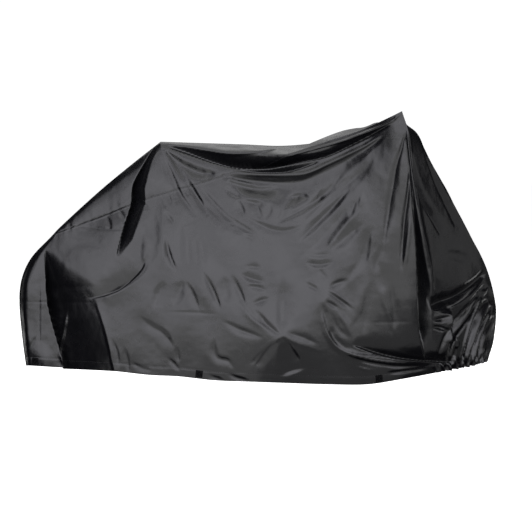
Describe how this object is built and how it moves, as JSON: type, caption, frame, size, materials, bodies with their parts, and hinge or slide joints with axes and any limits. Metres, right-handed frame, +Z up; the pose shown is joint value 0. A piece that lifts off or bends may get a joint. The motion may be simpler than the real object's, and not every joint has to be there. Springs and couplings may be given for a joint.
{
  "type": "bicycle cover",
  "caption": "Fitted bicycle cover of thin satin cloth, draped from a rear peak to a higher front peak, hollow and open below, with small patches on the hem.",
  "frame": {"origin": "underside of the top panel at the rear peak, where the cover rests on the saddle", "axes": "+X to the front of the bicycle, +Z up, -Y the near side that the picture shows"},
  "size_m": [1.8031, 0.59, 1.006],
  "materials": {
    "cover_cloth": "satin coated plain weave",
    "hem_patch": "matt woven webbing"
  },
  "bodies": {
    "root": {"side_panel_near": "cover_cloth", "side_panel_far": "cover_cloth", "top_panel": "cover_cloth", "hem_patch_near_rear": "hem_patch", "hem_patch_near_middle": "hem_patch", "hem_patch_near_front": "hem_patch", "hem_patch_far_rear": "hem_patch", "hem_patch_far_middle": "hem_patch", "hem_patch_far_front": "hem_patch"}
  },
  "joints": []
}
